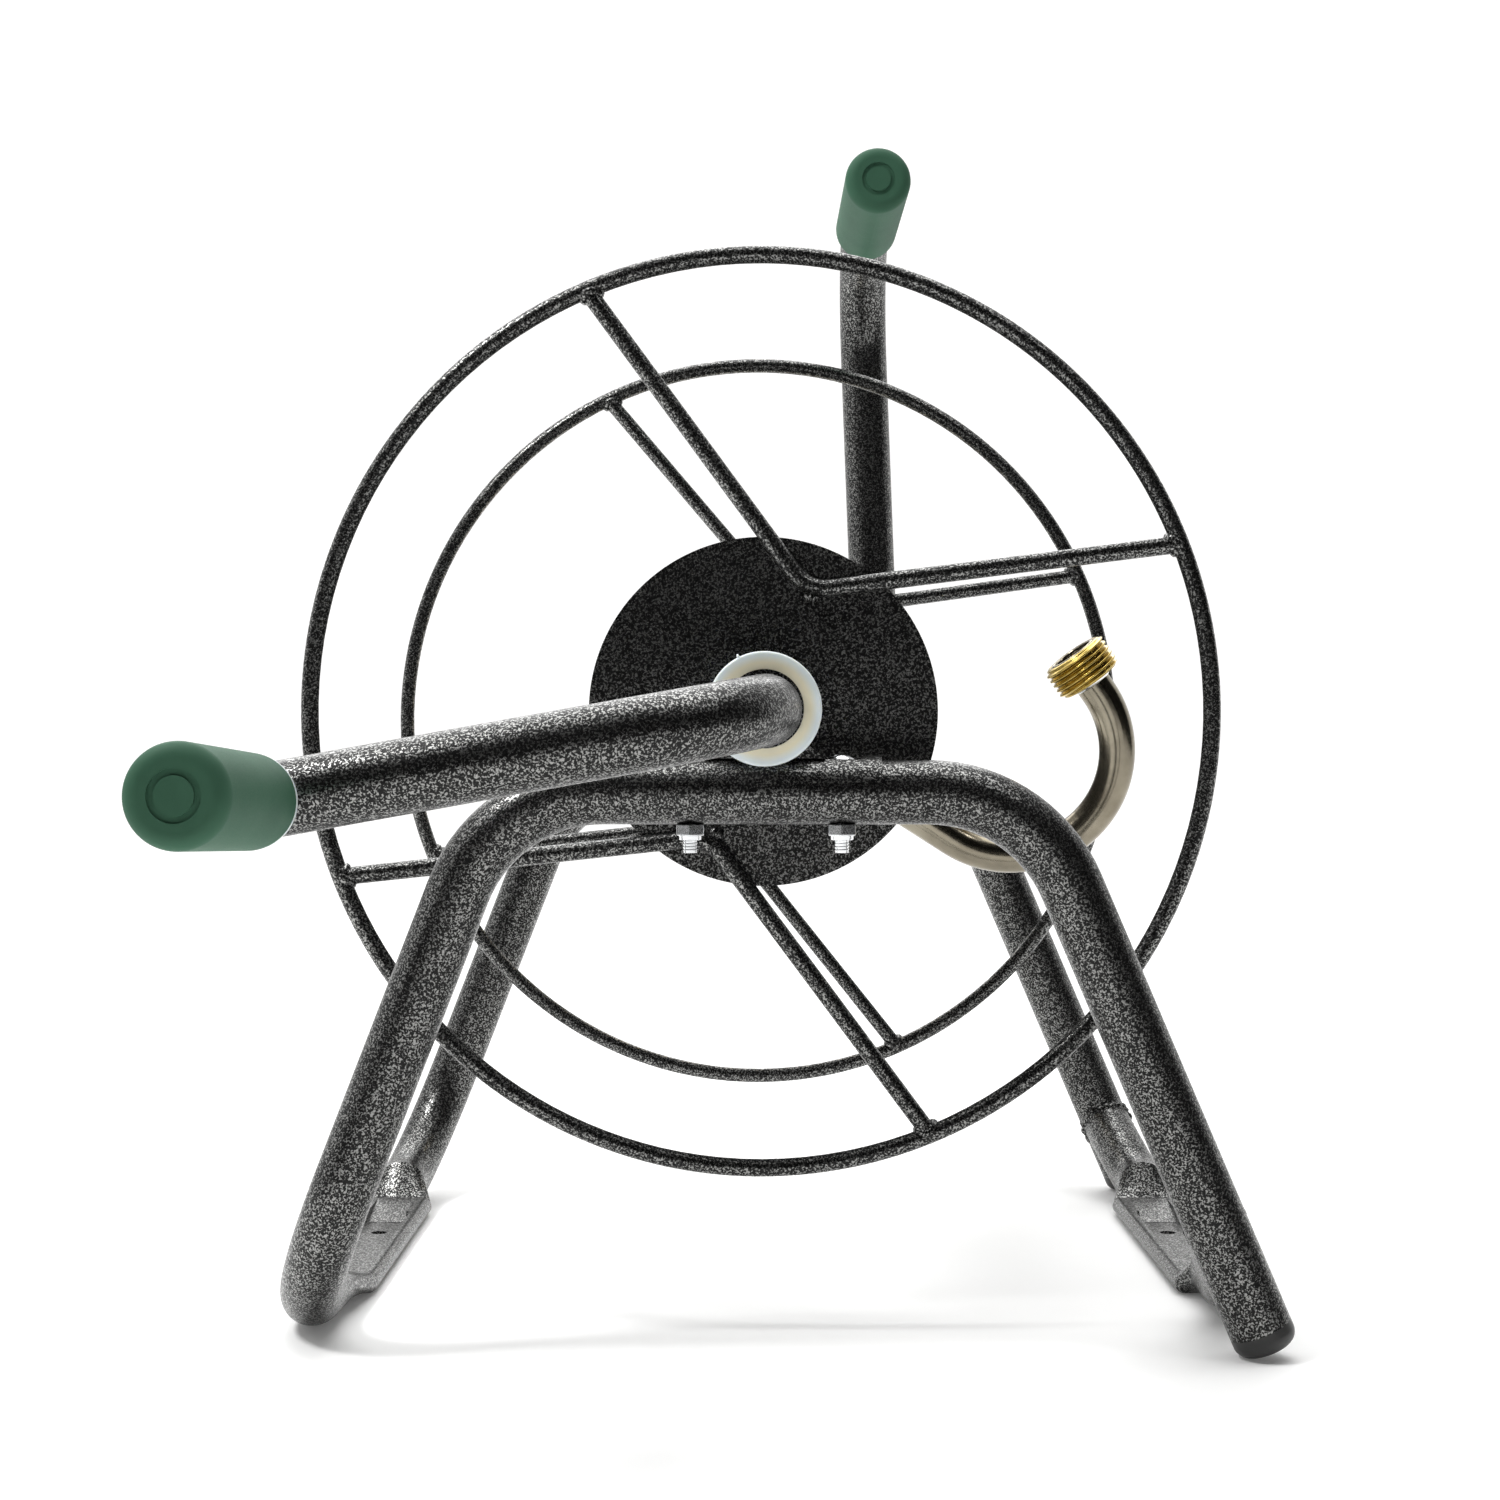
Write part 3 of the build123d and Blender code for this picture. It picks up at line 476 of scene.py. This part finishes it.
def weld_post():
    """Two short beads where the carrying handle's post crosses the rear arch."""
    lean = (POST_TOP[0] - POST_FOOT[0]) / (POST_TOP[1] - POST_FOOT[1])
    for side in (-1, 1):
        path = []
        for step in range(-8, 9):
            z = ARCH_TOP + step * 1.0
            x = POST_FOOT[0] + lean * (z - POST_FOOT[1]) + side * POST_BEAD_X
            arch_face = ARCH_Y + math.sqrt(TUBE_R ** 2 - (z - ARCH_TOP) ** 2)
            path.append(place(x, (arch_face + POST_Y - POST_BEAD_DEPTH) / 2, z))
        bead(f"post_weld_{1 if side < 0 else 2}", path, 0.0026, "frame", False, 41 + side)


def weld_housings():
    """Beads where each bush ring sits in its saddle."""
    for side, end in ENDS:
        top = ARCH_TOP + SADDLE_R
        for hand in (-1, 1):
            path = []
            for step in range(-6, 7):
                z = top + HOUSING_BEAD_RISE + 0.1 * abs(step)
                path.append(place(hand * HOUSING_BEAD_X, side * ARCH_Y + step * 1.15, z))
            bead(f"{end}_housing_weld_{1 if hand < 0 else 2}", path, 0.0021, "frame", False,
                 51 + 3 * hand + side)


# ---------------------------------------------------------------- threads and turned parts
def stud_threads():
    """Rolled threads on the ends of the housing screws, below their nuts."""
    nut_end = ARCH_TOP - TUBE_R - NUT_HEIGHT
    stud_end = ARCH_TOP + SADDLE_R - SCREW_LENGTH
    number = 0
    for side in (-1, 1):
        for x in BOLTS_X:
            number += 1
            start = place(x, side * ARCH_Y, stud_end)
            length = (nut_end - stud_end) * MM
            stations = thread_stations(0.0, length, **STUD_THREAD)
            turned(f"stud_thread_{number}", start, Vector((0, 0, 1)), stations, "zinc", "frame",
                   segments=40, closed=False)


def hose_fitting():
    """The turned brass fitting with its hose thread, standing for the CAD node."""
    mount = MOUNTS["hose_outlet"]
    way = Vector(mount["axis"]).normalized()
    back = Vector(mount["pos_m"]) - way * FITTING_BACK
    stations = [(0.0000, 0.00720), (0.0000, 0.0116), (0.0004, 0.0121)]
    stations += [(0.0004 + along, radius) for along, radius in
                 thread_stations(0.0, HOSE_THREAD_LENGTH, **HOSE_THREAD, steps_per_pitch=16)]
    stations += [(0.0130, 0.0116), (0.0132, 0.0112), (0.0132, 0.0100), (0.0124, 0.0092),
                 (0.0040, 0.0091), (0.0040, 0.00720)]
    fitting = turned("hose_thread", back, way, stations, "brass", "reel", segments=160)
    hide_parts("outlet_fitting")
    lip = [(0.0090, 0.0083), (0.0128, 0.0083), (0.0134, 0.0087), (0.0135, 0.0094), (0.0131, 0.0099),
           (0.0124, 0.0095), (0.0090, 0.0092)]
    turned("hose_lip", back, way, lip, "stainless", "reel", segments=120)
    fillet = [(-0.0016, 0.0070), (-0.0013, 0.0077), (-0.0006, 0.0083), (0.0003, 0.0093),
              (0.0006, 0.0080), (0.0006, 0.0070)]
    turned("braze", back, way, fillet, "zinc", "reel", segments=64)


def mould_nibs():
    """The torn gate mark standing out of each nylon bush's flange."""
    for side, end, angle in ((-1, "front", 116.6), (1, "rear", 62.0)):
        start = around(18.9, angle, side * (BUSH_FACE_Y - 0.8))
        way = around(1.0, angle, 0.0) - around(0.0, angle, 0.0)
        stations = [(0.0, 0.0006), (0.0012, 0.0005), (0.0019, 0.0002)]
        turned(f"{end}_bush_nib", start, way, stations, "nylon", "frame", 16, closed=False)


# ---------------------------------------------------------------- studio
def studio_floor():
    s = Shader("white_sweep")
    s.link(s.ramp(s.noise(0.7, 1.0), [(0.3, (0.95, 0.95, 0.945)), (0.7, (0.965, 0.965, 0.96))]),
           s.shader.inputs["Base Color"])
    s.set(Roughness=0.9, Specular_IOR_Level=0.1, Emission_Color=(1.0, 0.995, 0.985, 1.0))
    split = s.add("ShaderNodeSeparateXYZ")
    s.link(s.place, split.inputs[0])
    s.link(s.spread(split.outputs["Y"], 0.5, 3.0, 0.08, 0.26), s.shader.inputs["Emission Strength"])
    half = 6.0
    rise = 5.0
    bend = 1.5
    drop = 0.0002           # keeps the sweep from touching the feet
    profile = [(-half, 0.0)]
    profile += [(half - bend + bend * math.sin(math.radians(a)), bend - bend * math.cos(math.radians(a)))
                for a in range(0, 91, 6)]
    profile += [(half, rise)]
    points = [Vector((x, y, z - drop)) for y, z in profile for x in (-half * 1.5, half * 1.5)]
    faces = [(2 * i, 2 * i + 1, 2 * i + 3, 2 * i + 2) for i in range(len(profile) - 1)]
    mesh = bpy.data.meshes.new("sweep")
    mesh.from_pydata([tuple(point) for point in points], [], faces)
    for polygon in mesh.polygons:
        polygon.use_smooth = True
    floor = bpy.data.objects.new("sweep", mesh)
    bpy.context.scene.collection.objects.link(floor)
    floor.data.materials.append(s.material)


def black_card(name, low, high):
    """A dark flag on the camera's side, which the round tubes mirror as their dark middles."""
    s = Shader(name)
    s.link(s.ramp(s.noise(2.0, 1.0), [(0.3, grey(0.01)), (0.7, grey(0.015))]),
           s.shader.inputs["Base Color"])
    s.set(Roughness=1.0, Specular_IOR_Level=0.0)
    (left, front, bottom), (right, back, top) = low, high
    mesh = bpy.data.meshes.new(name)
    mesh.from_pydata([(left, front, bottom), (right, back, bottom), (right, back, top), (left, front, top)],
                     [], [(0, 1, 2, 3)])
    card = bpy.data.objects.new(name, mesh)
    bpy.context.scene.collection.objects.link(card)
    card.data.materials.append(s.material)


def soft_light(name, place_at, target, size, power):
    lamp = bpy.data.lights.new(name, "AREA")
    lamp.shape = "RECTANGLE"
    lamp.size, lamp.size_y = size
    lamp.energy = power
    light = bpy.data.objects.new(name, lamp)
    light.location = place_at
    way = Vector(target) - Vector(place_at)
    light.rotation_euler = way.to_track_quat("-Z", "Y").to_euler()
    bpy.context.scene.collection.objects.link(light)


def studio():
    scene = bpy.context.scene
    world = bpy.data.worlds.new("studio")
    scene.world = world
    world.use_nodes = True
    background = world.node_tree.nodes["Background"]
    background.inputs["Color"].default_value = (1.0, 1.0, 1.0, 1.0)
    background.inputs["Strength"].default_value = 0.92
    scene.view_settings.view_transform = "Standard"
    studio_floor()
    black_card("front_flag", (-4.0, -1.9, 0.0), (4.0, -1.9, 4.5))
    black_card("right_flag", (1.7, -1.9, 0.0), (1.7, 0.3, 3.0))
    soft_light("back_key", (-0.3, 1.6, 1.7), (0, 0, 0.0), (2.2, 1.4), 26)
    soft_light("overhead", (0.1, 0.1, 1.9), (0, 0, 0.15), (1.6, 1.2), 16)
    soft_light("left_spot", (-0.75, -0.45, 1.3), (-0.2, -0.3, 0.2), (0.3, 0.3), 12)
    soft_light("right_spot", (0.9, -0.8, 1.6), (0, -0.2, 0.2), (0.2, 0.2), 1.5)


def camera():
    data = bpy.data.cameras.new("camera")
    data.sensor_width = 36.0
    data.lens = 58.06
    data.shift_x = 0.0016
    data.shift_y = 0.00227
    data.clip_start = 0.05
    data.clip_end = 60.0
    view = bpy.data.objects.new("camera", data)
    view.location = place(-5.7, -996.0, -15.2)
    view.rotation_euler = (math.radians(90), 0, 0)
    bpy.context.scene.collection.objects.link(view)
    bpy.context.scene.camera = view


dress_cad_nodes()
soften_edges(("housing_nuts", "housing_screws"), 0.0004)
soften_edges(("front_housing", "rear_housing"), 0.0005)
weld_rods_to_rims()
weld_rods_to_discs()
weld_collars()
weld_rails_to_legs()
weld_post()
weld_housings()
stud_threads()
hose_fitting()
mould_nibs()
studio()
camera()
